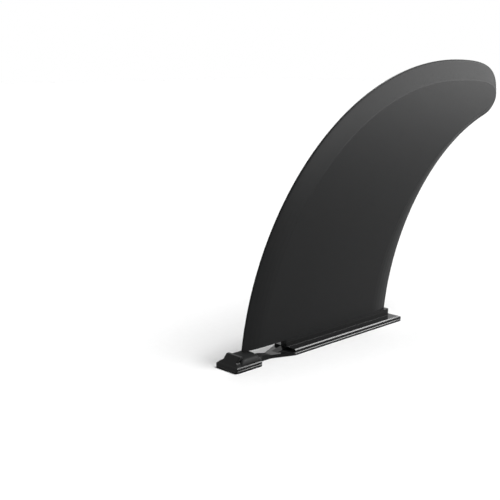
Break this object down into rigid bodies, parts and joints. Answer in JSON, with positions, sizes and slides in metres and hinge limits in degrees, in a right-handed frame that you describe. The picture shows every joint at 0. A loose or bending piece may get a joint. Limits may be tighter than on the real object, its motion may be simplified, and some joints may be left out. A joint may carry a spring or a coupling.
{
  "type": "kayak skeg",
  "caption": "Removable kayak skeg: a raked fin blade on a narrow slide-in base, with a springy latch tab in front of it.",
  "frame": {"origin": "on the flat underside of the base, on the centre plane, at the front of the latch tab", "axes": "+X from the latch tab to the heel and the blade's tip (towards the boat's stern), +Y across the base, +Z from the base up the blade, out of the hull"},
  "size_m": [0.3829, 0.0254, 0.2421],
  "materials": {
    "moulded_plastic": "satin injection moulded black plastic"
  },
  "bodies": {
    "root": {"skeg": "moulded_plastic"}
  },
  "joints": []
}
